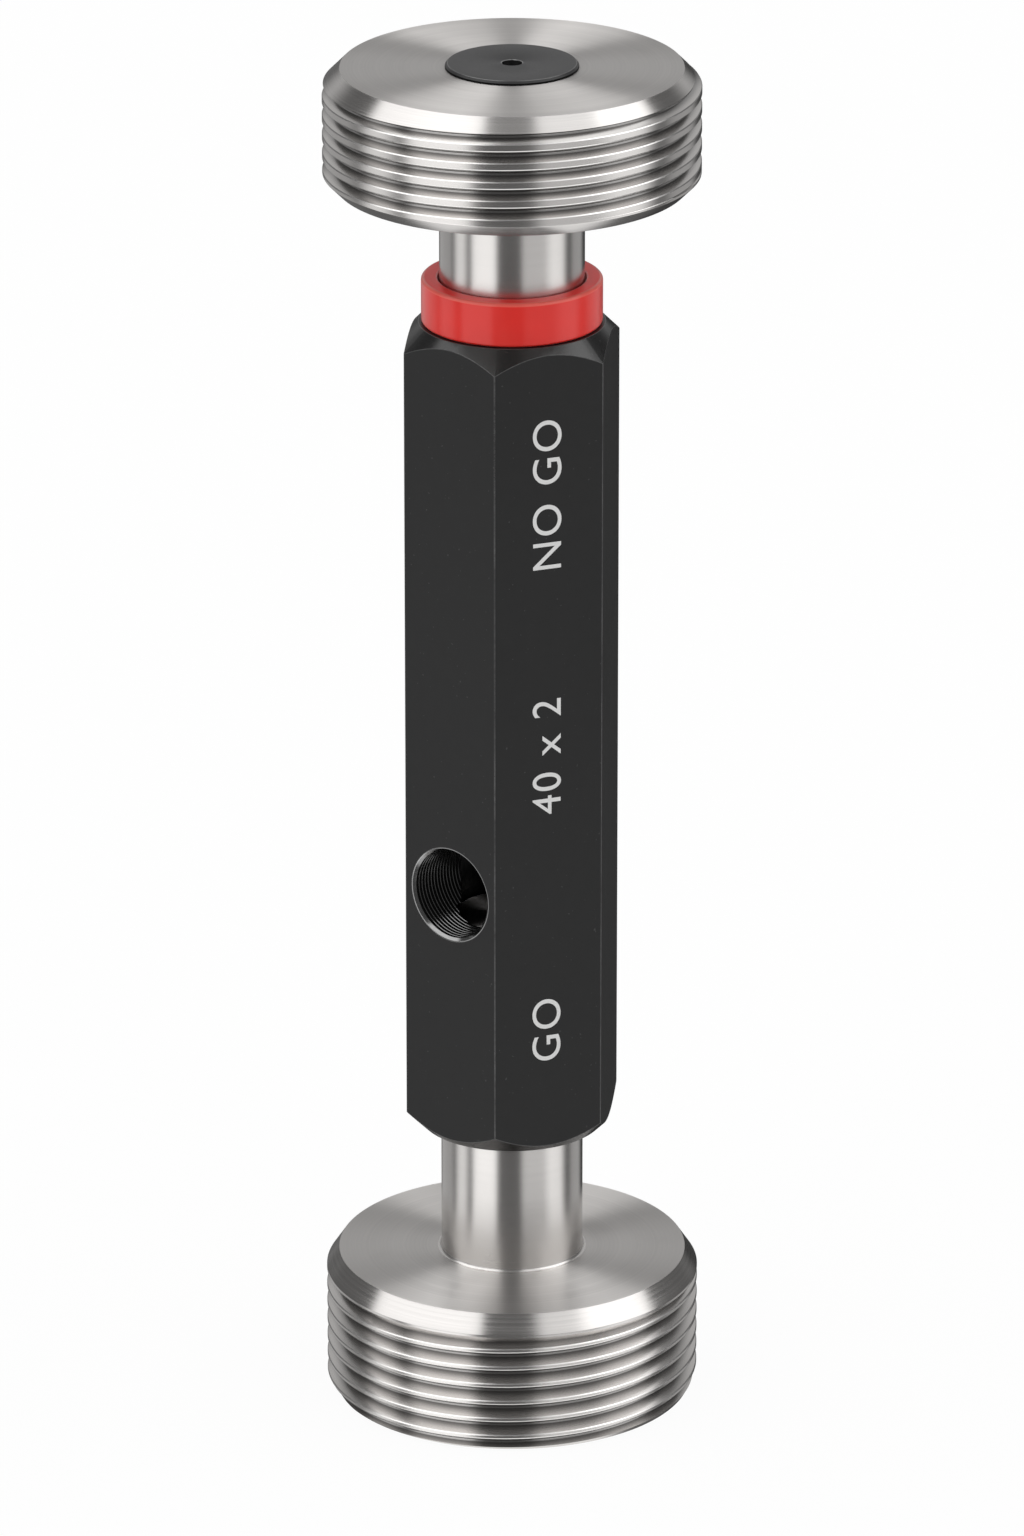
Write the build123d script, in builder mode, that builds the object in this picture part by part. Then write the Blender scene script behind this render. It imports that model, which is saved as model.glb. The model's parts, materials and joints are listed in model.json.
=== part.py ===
from build123d import *
import math
import os

# Double-ended thread plug gauge for an M40 x 2 right-hand nut thread.
# The gauge stands on the end face of its GO member, with its axis on +Z and z = 0 at that face.
# The cross hole for the drift runs along Y, so two flats of the hexagon face +Y and -Y.
# All sizes are in millimetres.

# Screw thread, shared by both gauging members
thread_diameter = 40.0
thread_pitch = 2.0
thread_angle = 60.0
go_crest_flat = 0.40
root_flat = 0.25
# The NO GO crests are ground lower, so that only the flanks gauge
no_go_truncation = 0.30
# The thread is cut on a rod that is longer than the member by this many turns at each end
groove_overrun_turns = 1.5
rod_overrun_turns = 3.5
# How far the cutter stands out of the crests
groove_overcut = 0.20
# At the neck side the thread runs out on a 45 degree cone, up to a plain land below the chamfer
collar_land = 0.25
# How far a turned outline is carried past the corner that it cuts off
turning_margin = 1.0
# How closely an edge's radius and level have to match when it is picked for a chamfer or a fillet
match = 1e-4

# GO member: full-form thread, the end that the gauge stands on
go_width = 15.5
go_neck_side_chamfer_radial = 1.35
go_neck_side_chamfer_axial = 2.0
go_end_chamfer_radial = 0.75
go_end_chamfer_axial = 1.3

# NO GO member: shorter, with truncated thread
no_go_width = 12.5
no_go_end_chamfer = 1.85
no_go_neck_side_chamfer = 1.30
# Unground round boss left in the middle of the NO GO member's end face
boss_diameter = 13.9
boss_height = 0.45
boss_edge_chamfer = 0.25

# Centre holes that both members are turned and ground on
centre_hole_mouth = 2.12
centre_hole_pilot = 1.0
centre_hole_depth = 3.2
centre_hole_angle = 60.0

# Neck between each member and the handle, and the taper shank that carries on from it
neck_diameter = 15.2
neck_length = 15.0
neck_root_fillet = 0.40
shank_mouth_diameter = 13.0
# The taper is 1 in 50 on the diameter
shank_taper = 1.0 / 50.0
shank_length = 23.7
shank_end_chamfer = 0.40
# The shank wedges in its socket before the neck's shoulder reaches the handle
shoulder_gap = 0.20

# Hexagonal handle
handle_across_flats = 21.0
handle_length = 90.0
handle_face_diameter = 19.6
handle_bore_diameter = 11.0
socket_runout = 1.5
socket_mouth_chamfer = 0.30
drift_hole_diameter = 9.7
drift_hole_chamfer = 0.30
# From the shank's inner end to the nearest side of the drift hole
drift_hole_lead = 0.20

# Coloured ring that marks the NO GO end, a loose fit on the neck
ring_diameter = 19.0
ring_height = 4.8
ring_clearance = 0.15
ring_edge_radius = 0.35

# Levels along the axis, from the GO end face up
handle_low = go_width + neck_length
handle_high = handle_low + handle_length
no_go_low = handle_high + neck_length
no_go_high = no_go_low + no_go_width
drift_hole_level = handle_low + shank_length + drift_hole_lead + drift_hole_diameter / 2

# Radii worked out from the sizes above
go_radius = thread_diameter / 2
no_go_radius = go_radius - no_go_truncation
flank_slope = math.tan(math.radians(thread_angle / 2))
thread_depth = (thread_pitch - go_crest_flat - root_flat) / 2 / flank_slope
root_radius = go_radius - thread_depth
neck_radius = neck_diameter / 2
mouth_radius = shank_mouth_diameter / 2
shank_end_radius = mouth_radius - shank_length * shank_taper / 2
handle_corner_radius = handle_across_flats / 2 / math.cos(math.radians(30))


def threaded_rod(crest_radius, low, width):
    """Plain rod with one helical groove, flat at root and crests, longer than a member by turns to spare."""
    overrun = groove_overrun_turns * thread_pitch
    rod_overrun = rod_overrun_turns * thread_pitch
    reach = crest_radius + groove_overcut - root_radius
    root_half = root_flat / 2
    mouth_half = root_half + reach * flank_slope
    with BuildPart() as groove:
        with BuildLine() as path:
            Helix(thread_pitch, width + 2 * overrun, root_radius, center=(0, 0, low - overrun))
        start = path.line @ 0
        with BuildSketch(Plane(origin=start, x_dir=(start.X, start.Y, 0), z_dir=path.line % 0)):
            with BuildLine():
                Polyline(
                    (0, -root_half),
                    (reach, -mouth_half),
                    (reach, mouth_half),
                    (0, root_half),
                    close=True,
                )
            make_face()
        sweep(is_frenet=True)
    with BuildPart() as rod:
        with BuildSketch(Plane.XY.offset(low - rod_overrun)):
            Circle(crest_radius)
        extrude(amount=width + 2 * rod_overrun)
        add(groove.part, mode=Mode.SUBTRACT)
    return rod.part


def runout_collar(crest_radius, edge_level, end_level):
    """Plain collar that closes the groove from its edge to an end, with a 45 degree cone at the thread."""
    way = math.copysign(1, end_level - edge_level)
    cone_depth = crest_radius - root_radius + turning_margin
    with BuildPart() as collar:
        with BuildSketch(Plane.XZ):
            with BuildLine():
                Polyline(
                    (0, edge_level - way * cone_depth),
                    (crest_radius - cone_depth, edge_level - way * cone_depth),
                    (crest_radius + groove_overcut, edge_level + way * groove_overcut),
                    (crest_radius + groove_overcut, end_level),
                    (0, end_level),
                    close=True,
                )
            make_face()
        revolve(axis=Axis.Z)
    return collar.part


# Each member starts as a threaded rod with a collar. Turning it to width and chamfering it comes after the
# thread, so that the thread starts on the end chamfer, as on the ground gauge.
go_rod = threaded_rod(go_radius, 0.0, go_width)
go_collar_edge = go_width - go_neck_side_chamfer_axial - collar_land
go_collar = runout_collar(go_radius, go_collar_edge, go_width + turning_margin)

with BuildPart() as go_member:
    add(go_rod)
    add(go_collar)
    with BuildSketch(Plane.XZ):
        with BuildLine():
            Polyline(
                (0, 0),
                (go_radius - go_end_chamfer_radial, 0),
                (go_radius, go_end_chamfer_axial),
                (go_radius, go_width - go_neck_side_chamfer_axial),
                (go_radius - go_neck_side_chamfer_radial, go_width),
                (0, go_width),
                close=True,
            )
        make_face()
    revolve(axis=Axis.Z, mode=Mode.INTERSECT)
    # Neck up to its shoulder, then the taper shank inside the handle
    with BuildSketch(Plane.XZ):
        with BuildLine():
            Polyline(
                (0, go_width / 2),
                (neck_radius, go_width / 2),
                (neck_radius, handle_low - shoulder_gap),
                (mouth_radius, handle_low - shoulder_gap),
                (mouth_radius, handle_low),
                (shank_end_radius, handle_low + shank_length),
                (0, handle_low + shank_length),
                close=True,
            )
        make_face()
    revolve(axis=Axis.Z)
    shank_rim = go_member.edges().filter_by(GeomType.CIRCLE).sort_by(Axis.Z)[-1]
    chamfer(shank_rim, shank_end_chamfer)
    neck_root = go_member.edges().filter_by(GeomType.CIRCLE).filter_by(
        lambda e: abs(e.radius - neck_radius) < match and abs(e.center().Z - go_width) < match
    )
    fillet(neck_root, neck_root_fillet)
    with Locations(Plane(origin=(0, 0, 0), z_dir=(0, 0, -1))):
        CounterSinkHole(
            centre_hole_pilot / 2, centre_hole_mouth / 2, centre_hole_depth, centre_hole_angle
        )

go_member.part.label = "go_member"


no_go_rod = threaded_rod(no_go_radius, no_go_low, no_go_width)
no_go_collar_edge = no_go_low + no_go_neck_side_chamfer + collar_land
no_go_collar = runout_collar(no_go_radius, no_go_collar_edge, no_go_low - turning_margin)

with BuildPart() as no_go_member:
    add(no_go_rod)
    add(no_go_collar)
    with BuildSketch(Plane.XZ):
        with BuildLine():
            Polyline(
                (0, no_go_low),
                (no_go_radius - no_go_neck_side_chamfer, no_go_low),
                (no_go_radius, no_go_low + no_go_neck_side_chamfer),
                (no_go_radius, no_go_high - no_go_end_chamfer),
                (no_go_radius - no_go_end_chamfer, no_go_high),
                (0, no_go_high),
                close=True,
            )
        make_face()
    revolve(axis=Axis.Z, mode=Mode.INTERSECT)
    # Neck down to its shoulder, then the taper shank inside the handle
    with BuildSketch(Plane.XZ):
        with BuildLine():
            Polyline(
                (0, no_go_low + no_go_width / 2),
                (neck_radius, no_go_low + no_go_width / 2),
                (neck_radius, handle_high + shoulder_gap),
                (mouth_radius, handle_high + shoulder_gap),
                (mouth_radius, handle_high),
                (shank_end_radius, handle_high - shank_length),
                (0, handle_high - shank_length),
                close=True,
            )
        make_face()
    revolve(axis=Axis.Z)
    shank_rim = no_go_member.edges().filter_by(GeomType.CIRCLE).sort_by(Axis.Z)[0]
    chamfer(shank_rim, shank_end_chamfer)
    neck_root = no_go_member.edges().filter_by(GeomType.CIRCLE).filter_by(
        lambda e: abs(e.radius - neck_radius) < match and abs(e.center().Z - no_go_low) < match
    )
    fillet(neck_root, neck_root_fillet)
    # Boss in the middle of the end face, with its centre hole
    with BuildSketch(Plane.XY.offset(no_go_high)):
        Circle(boss_diameter / 2)
    extrude(amount=boss_height)
    boss_rim = no_go_member.edges().filter_by(GeomType.CIRCLE).sort_by(Axis.Z)[-1]
    chamfer(boss_rim, boss_edge_chamfer)
    with Locations((0, 0, no_go_high + boss_height)):
        CounterSinkHole(
            centre_hole_pilot / 2, centre_hole_mouth / 2, centre_hole_depth, centre_hole_angle
        )

no_go_member.part.label = "no_go_member"


with BuildPart() as handle:
    with BuildSketch(Plane.XY.offset(handle_low)):
        RegularPolygon(handle_across_flats / 2, 6, major_radius=False)
    extrude(amount=handle_length)
    # Both ends are turned to a 45 degree cone, which leaves a round end face and curved flats
    face_radius = handle_face_diameter / 2
    turned = handle_corner_radius + turning_margin - face_radius
    with BuildSketch(Plane.XZ):
        with BuildLine():
            Polyline(
                (0, handle_low),
                (face_radius, handle_low),
                (face_radius + turned, handle_low + turned),
                (face_radius + turned, handle_high - turned),
                (face_radius, handle_high),
                (0, handle_high),
                close=True,
            )
        make_face()
    revolve(axis=Axis.Z, mode=Mode.INTERSECT)
    # Bore right through, with a taper socket at each end on the same cone as the shanks
    bore_radius = handle_bore_diameter / 2
    socket_depth = shank_length + socket_runout
    socket_end_radius = mouth_radius - socket_depth * shank_taper / 2
    with BuildSketch(Plane.XZ):
        with BuildLine():
            Polyline(
                (0, handle_low),
                (mouth_radius, handle_low),
                (socket_end_radius, handle_low + socket_depth),
                (bore_radius, handle_low + socket_depth),
                (bore_radius, handle_high - socket_depth),
                (socket_end_radius, handle_high - socket_depth),
                (mouth_radius, handle_high),
                (0, handle_high),
                close=True,
            )
        make_face()
    revolve(axis=Axis.Z, mode=Mode.SUBTRACT)
    # Cross hole for the drift, through both flats that face along Y
    with BuildSketch(Plane.XZ):
        with Locations((0, drift_hole_level)):
            Circle(drift_hole_diameter / 2)
    extrude(amount=handle_across_flats, both=True, mode=Mode.SUBTRACT)
    hole_rims = handle.edges().filter_by(GeomType.CIRCLE).filter_by(
        lambda e: abs(abs(e.center().Y) - handle_across_flats / 2) < match
    )
    chamfer(hole_rims, drift_hole_chamfer)
    socket_mouths = handle.edges().filter_by(GeomType.CIRCLE).filter_by(
        lambda e: abs(e.radius - mouth_radius) < match
    )
    chamfer(socket_mouths, socket_mouth_chamfer)

handle.part.label = "handle"


with BuildPart() as no_go_ring:
    with BuildSketch(Plane.XY.offset(handle_high)):
        Circle(ring_diameter / 2)
        Circle(neck_radius + ring_clearance, mode=Mode.SUBTRACT)
    extrude(amount=ring_height)
    ring_rims = no_go_ring.edges().filter_by(GeomType.CIRCLE).filter_by(
        lambda e: abs(e.radius - ring_diameter / 2) < match
    )
    fillet(ring_rims, ring_edge_radius)

no_go_ring.part.label = "no_go_ring"


os.makedirs("parts", exist_ok=True)
export_step(handle.part, "parts/handle.step")
export_step(go_member.part, "parts/go_member.step")
export_step(no_go_member.part, "parts/no_go_member.step")
export_step(no_go_ring.part, "parts/no_go_ring.step")
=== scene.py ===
"""Studio picture of a double-ended thread plug gauge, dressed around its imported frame.

The gauge stands on the end face of its GO plug, with its axis on +Z and the drift hole along Y. Every size
is in metres. What the frame gives is read from it, and the other sizes are the fields of the classes below.
"""

from __future__ import annotations

import json
import logging
import math
from dataclasses import dataclass, field
from enum import Enum
from typing import Sequence

import bpy
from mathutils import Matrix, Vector


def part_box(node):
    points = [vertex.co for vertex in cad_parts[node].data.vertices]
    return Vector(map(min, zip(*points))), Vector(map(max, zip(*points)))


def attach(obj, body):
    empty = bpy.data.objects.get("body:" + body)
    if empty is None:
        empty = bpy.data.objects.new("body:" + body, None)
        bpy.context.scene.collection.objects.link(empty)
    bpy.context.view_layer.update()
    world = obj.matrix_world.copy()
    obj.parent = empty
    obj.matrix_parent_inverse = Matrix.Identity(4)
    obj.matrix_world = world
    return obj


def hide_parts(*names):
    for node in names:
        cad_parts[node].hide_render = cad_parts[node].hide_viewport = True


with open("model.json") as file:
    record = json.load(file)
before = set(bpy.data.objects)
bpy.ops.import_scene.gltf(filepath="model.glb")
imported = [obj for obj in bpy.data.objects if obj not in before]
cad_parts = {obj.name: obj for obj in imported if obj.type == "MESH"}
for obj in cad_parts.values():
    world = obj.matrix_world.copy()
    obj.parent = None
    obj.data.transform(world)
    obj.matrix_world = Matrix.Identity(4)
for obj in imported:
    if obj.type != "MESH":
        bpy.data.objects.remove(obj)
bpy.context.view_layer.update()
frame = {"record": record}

LOG = logging.getLogger("thread_plug_gauge")
MM = 0.001
BODY = "root"
GROUP_ENDS = ("NodeGroupInput", "NodeGroupOutput")
LEVEL_SLACK = 1e-9
RADIUS_SLACK = 1e-7
# Ranges of a noise's values, which lie round a half, that a finish is spread over.
NOISE_WIDE = (0.2, 0.8)
NOISE_MIDDLE = (0.25, 0.75)
NOISE_NARROW = (0.3, 0.7)

Line = list[tuple[float, float]]
Key = tuple[str, int, int]
Socket = bpy.types.NodeSocket


class Slot(Enum):
    """Material slots of the record."""

    STEEL = "gauge_steel"
    HANDLE = "handle_black"
    RING = "ring_red"


class Surface(Enum):
    """The kinds of face that a piece has, each with a finish of its own."""

    TURNED = "turned"
    CHAMFER = "chamfer"
    NECK = "neck"
    CREST = "crest"
    CREST_EDGE = "crest edge"
    FLANK = "flank"
    BLACK_CENTRE = "black centre"
    CENTRE_HOLE = "centre hole"
    HOLE_RIM = "hole rim"
    TOOL_MARK = "tool mark"
    FLATS = "flats"
    TURNED_BLACK = "turned black"
    EDGE = "edge"
    BORE = "bore"
    MOULDED = "moulded"
    RING_TOP = "ring top"


Finishes = dict[Surface, bpy.types.Material]


@dataclass(frozen=True)
class Corner:
    """One corner of a section through a piece, in a plane through the axis."""

    radius: float
    level: float
    rounding: float = 0.0
    leads_on: Surface = Surface.TURNED
    rounded_as: Surface | None = None


@dataclass(frozen=True)
class Station:
    """One vertex of a column of vertices at one angle round the axis."""

    key: Key
    radius: float
    level: float
    leads_on: Surface = Surface.TURNED
    groove: float = 0.0


def arc_line(before: Vector, corner: Vector, after: Vector, radius: float, segments: int) -> list[Vector]:
    """Rounds one corner of a line.

    Args:
        before: The point before the corner.
        corner: The corner itself.
        after: The point after it.
        radius: Radius of the arc, or 0 for a sharp corner.
        segments: Straight pieces that stand for the arc.

    Returns:
        The points that take the corner's place.
    """
    if radius <= 0.0:
        return [corner]
    back = (before - corner).normalized()
    ahead = (after - corner).normalized()
    half = math.acos(max(-1.0, min(1.0, back.dot(ahead)))) / 2
    reach = min(radius / math.tan(half), (before - corner).length / 2, (after - corner).length / 2)
    centre = corner + (back + ahead).normalized() * (reach / math.cos(half))
    start = corner + back * reach - centre
    end = corner + ahead * reach - centre
    spokes = [start.slerp(end, step / segments).normalized() for step in range(segments + 1)]
    return [centre + spoke * start.length for spoke in spokes]


def trace(corners: Sequence[Corner], name: str, segments: int = 4) -> list[Station]:
    """Turns the corners of a section into vertices, with its roundings as short lines.

    Args:
        corners: The section's corners, in order. The first and the last stay sharp.
        name: What the section is called, which keeps its vertices apart from other sections'.
        segments: Straight pieces in each rounding.

    Returns:
        The vertices, in the same order.
    """
    flat = [Vector((corner.radius, corner.level)) for corner in corners]
    stations = []
    for place, corner in enumerate(corners):
        if 0 < place < len(corners) - 1:
            points = arc_line(flat[place - 1], flat[place], flat[place + 1], corner.rounding, segments)
        else:
            points = [flat[place]]
        for step, point in enumerate(points):
            in_arc = corner.rounded_as is not None and step < len(points) - 1
            surface = corner.rounded_as if in_arc else corner.leads_on
            stations.append(Station((name, place, step), point.x, point.y, surface))
    return stations


def link_object(name: str, data: bpy.types.ID) -> bpy.types.Object:
    """Makes an object from its data and links it to the scene."""
    made = bpy.data.objects.new(name, data)
    bpy.context.scene.collection.objects.link(made)
    return made


def evaluated_mesh(source: bpy.types.Object) -> bpy.types.Mesh:
    """Copies the mesh that an object's modifiers or letters result in."""
    bpy.context.view_layer.update()
    return bpy.data.meshes.new_from_object(source.evaluated_get(bpy.context.evaluated_depsgraph_get()))


@dataclass
class MeshDraft:
    """Vertices and faces of a piece while it is being made."""

    points: list[tuple[float, float, float]] = field(default_factory=list)
    faces: list[tuple[int, ...]] = field(default_factory=list)
    surfaces: list[Surface] = field(default_factory=list)
    grooves: list[float] = field(default_factory=list)

    def add_point(self, angle: float, station: Station) -> int:
        """Adds one vertex and returns its number."""
        reach = station.radius
        self.points.append((reach * math.cos(angle), reach * math.sin(angle), station.level))
        self.grooves.append(station.groove)
        return len(self.points) - 1

    def add_face(self, corners: Sequence[int], surface: Surface) -> None:
        """Adds one face, and leaves out corners that fall together on the axis."""
        kept = [corner for place, corner in enumerate(corners) if corner != corners[place - 1]]
        if len(kept) > 2:
            self.faces.append(tuple(kept))
            self.surfaces.append(surface)

    def add_columns(self, angles: Sequence[float], columns: Sequence[list[Station]], looped: bool) -> None:
        """Joins columns of vertices round the axis into a skin.

        Args:
            angles: The angle of each column, going up, with less than a full turn from first to last.
            columns: The vertices of each column, from the start of the section to its end.
            looped: Whether the end of each section joins its start.
        """
        axis_points: dict[Key, int] = {}
        numbered = []
        for angle, column in zip(angles, columns):
            numbers = []
            for station in column:
                if station.radius <= 0.0:
                    if station.key not in axis_points:
                        axis_points[station.key] = self.add_point(0.0, station)
                    numbers.append(axis_points[station.key])
                else:
                    numbers.append(self.add_point(angle, station))
            numbered.append(list(zip(column, numbers)))
        for place, left in enumerate(numbered):
            last = place == len(numbered) - 1
            right = numbered[0] if last else numbered[place + 1]
            self._join(left, right, turn_shift=1 if last else 0)
            if looped:
                ends = (left[-1][1], right[-1][1], right[0][1], left[0][1])
                self.add_face(ends, left[-1][0].leads_on)

    def spin(self, line: list[Station], count: int, looped: bool) -> None:
        """Carries one section all the way round the axis.

        Args:
            line: The section's vertices.
            count: How many columns share the full turn.
            looped: Whether the end of the section joins its start.
        """
        self.add_columns(even_angles(count), [line] * count, looped)

    def _join(
        self, left: list[tuple[Station, int]], right: list[tuple[Station, int]], turn_shift: int
    ) -> None:
        """Fills the strip between two columns, matching the vertices that both have.

        Args:
            left: One column's vertices and their numbers.
            right: The next column's.
            turn_shift: How many turns further on a thread's vertices are counted in the right column.
        """
        left_keys = [station.key for station, _ in left]
        right_keys = [
            (station.key[0], station.key[1] - turn_shift, station.key[2])
            if station.key[0].startswith("turn")
            else station.key
            for station, _ in right
        ]
        ahead_left = {key: place for place, key in enumerate(left_keys)}
        ahead_right = {key: place for place, key in enumerate(right_keys)}
        a = b = 0
        while a < len(left) - 1 or b < len(right) - 1:
            more_left = a < len(left) - 1
            more_right = b < len(right) - 1
            if more_left and more_right and left_keys[a + 1] == right_keys[b + 1]:
                corners = (left[a][1], right[b][1], right[b + 1][1], left[a + 1][1])
                self.add_face(corners, left[a][0].leads_on)
                a, b = a + 1, b + 1
                continue
            waits_left = more_left and ahead_right.get(left_keys[a + 1], -1) > b
            waits_right = more_right and ahead_left.get(right_keys[b + 1], -1) > a
            if more_right and (waits_left or not more_left):
                step_right = True
            elif more_left and (waits_right or not more_right):
                step_right = False
            else:
                step_right = right[b + 1][0].level < left[a + 1][0].level
            if step_right:
                self.add_face((left[a][1], right[b][1], right[b + 1][1]), right[b][0].leads_on)
                b += 1
            else:
                self.add_face((left[a][1], right[b][1], left[a + 1][1]), left[a][0].leads_on)
                a += 1

    def to_object(self, name: str, finishes: Finishes) -> bpy.types.Object:
        """Makes the Blender object.

        Args:
            name: Name of the piece.
            finishes: The material of each kind of face.

        Returns:
            The object, linked to the scene.
        """
        mesh = bpy.data.meshes.new(name)
        mesh.from_pydata(self.points, [], self.faces)
        for finish in finishes.values():
            mesh.materials.append(finish)
        places = {surface: place for place, surface in enumerate(finishes)}
        mesh.polygons.foreach_set("material_index", [places[surface] for surface in self.surfaces])
        groove = mesh.attributes.new("groove", "FLOAT", "POINT")
        groove.data.foreach_set("value", self.grooves)
        mesh.validate()
        mesh.update()
        return link_object(name, mesh)


def even_angles(count: int) -> list[float]:
    """Angles that share a full turn evenly."""
    return [2 * math.pi * place / count for place in range(count)]


def soften(piece: bpy.types.Object, sharp_above: float) -> None:
    """Shades a piece smooth, with flat faces kept flat and true corners kept sharp.

    Args:
        piece: The piece.
        sharp_above: Angle in radians over which an edge stays sharp.
    """
    mesh = piece.data
    mesh.polygons.foreach_set("use_smooth", [True] * len(mesh.polygons))
    mesh.set_sharp_from_angle(angle=sharp_above)
    normals = piece.modifiers.new("even_shading", "WEIGHTED_NORMAL")
    normals.keep_sharp = True


def enlist(piece: bpy.types.Object, slot: Slot, node: str | None = None) -> bpy.types.Object:
    """Hands a finished piece over to the frame.

    Args:
        piece: The piece.
        slot: The record's material slot that it is finished as.
        node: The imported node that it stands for, if it stands for one.

    Returns:
        The same piece.
    """
    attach(piece, BODY)
    if node is not None:
        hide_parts(node)
    LOG.info("%s: %d faces, finished as %s", piece.name, len(piece.data.polygons), slot.value)
    return piece


class Graph:
    """Adds nodes to one node tree and wires them."""

    def __init__(self, tree: bpy.types.NodeTree) -> None:
        """Starts on an emptied node tree."""
        self.tree = tree
        self.tree.nodes.clear()

    def add(self, kind: str, values: dict[str, object] | None = None, **settings: object) -> bpy.types.Node:
        """Adds a node.

        Args:
            kind: The node's type, without its Shader prefix.
            values: Numbers, colours or sockets for the node's inputs, by input name.
            settings: The node's own options.

        Returns:
            The node.
        """
        node = self.tree.nodes.new(kind if kind in GROUP_ENDS else "Shader" + kind)
        for option, choice in settings.items():
            setattr(node, option, choice)
        for name, value in (values or {}).items():
            self.feed(value, node.inputs[name])
        return node

    def feed(self, value: object, into: Socket) -> None:
        """Links a socket, or sets a plain value, into an input."""
        if isinstance(value, bpy.types.NodeSocket):
            self.tree.links.new(value, into)
        else:
            into.default_value = value

    def math(self, operation: str, *values: object, clamp: bool = False) -> Socket:
        """Adds a Math node.

        Args:
            operation: Name of the operation.
            values: Its values or sockets, in order.
            clamp: Whether the result is held between 0 and 1.

        Returns:
            The node's output.
        """
        node = self.add("NodeMath", operation=operation, use_clamp=clamp)
        for value, into in zip(values, node.inputs):
            self.feed(value, into)
        return node.outputs[0]

    def product(self, first: object, *factors: object) -> object:
        """Multiplies two or more values or sockets, in order."""
        result = first
        for factor in factors:
            result = self.math("MULTIPLY", result, factor)
        return result

    def remap(
        self, value: object, low: float, high: float, to_low: float = 0.0, to_high: float = 1.0
    ) -> Socket:
        """Maps a range smoothly onto another and holds it there.

        Args:
            value: Value or socket.
            low: Where the range starts.
            high: Where it ends.
            to_low: What its start becomes.
            to_high: What its end becomes.

        Returns:
            The node's output.
        """
        values = {"Value": value, "From Min": low, "From Max": high, "To Min": to_low, "To Max": to_high}
        return self.add("NodeMapRange", values, interpolation_type="SMOOTHSTEP").outputs["Result"]

    def blend(self, share: object, a: object, b: object, mode: str = "MIX") -> Socket:
        """Mixes two colours.

        Args:
            share: How much of the second colour, as a value or a socket.
            a: First colour.
            b: Second colour.
            mode: How they are mixed.

        Returns:
            The mixed colour.
        """
        node = self.add("NodeMix", data_type="RGBA", blend_type=mode, clamp_result=False)
        self.feed(share, node.inputs[0])
        self.feed(a, node.inputs[6])
        self.feed(b, node.inputs[7])
        return node.outputs[2]

    def vector(self, x: object, y: object, z: object) -> Socket:
        """Joins three values into a vector."""
        return self.add("NodeCombineXYZ", {"X": x, "Y": y, "Z": z}).outputs[0]

    def noise(self, place: object, scale: float, detail: float = 2.0, rough: float = 0.5) -> Socket:
        """Adds a noise texture and returns its value, which lies round a half."""
        values = {"Vector": place, "Scale": scale, "Detail": detail, "Roughness": rough}
        return self.add("NodeTexNoise", values).outputs[0]

    def lay(self, stretch: float) -> dict[str, object]:
        """Shader values for a gloss that is stretched across rings round the Z axis."""
        if stretch <= 0.0:
            return {}
        tangent = self.add("NodeTangent", direction_type="RADIAL", axis="Z").outputs[0]
        return {"Anisotropic": stretch, "Anisotropic Rotation": 0.25, "Tangent": tangent}


def grey(value: float) -> tuple[float, float, float, float]:
    """A neutral colour."""
    return (value, value, value, 1.0)


def opaque(colour: Sequence[float], shade: float = 1.0) -> tuple[float, float, float, float]:
    """A colour with its alpha, made darker or lighter by a factor."""
    return (colour[0] * shade, colour[1] * shade, colour[2] * shade, 1.0)


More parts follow.
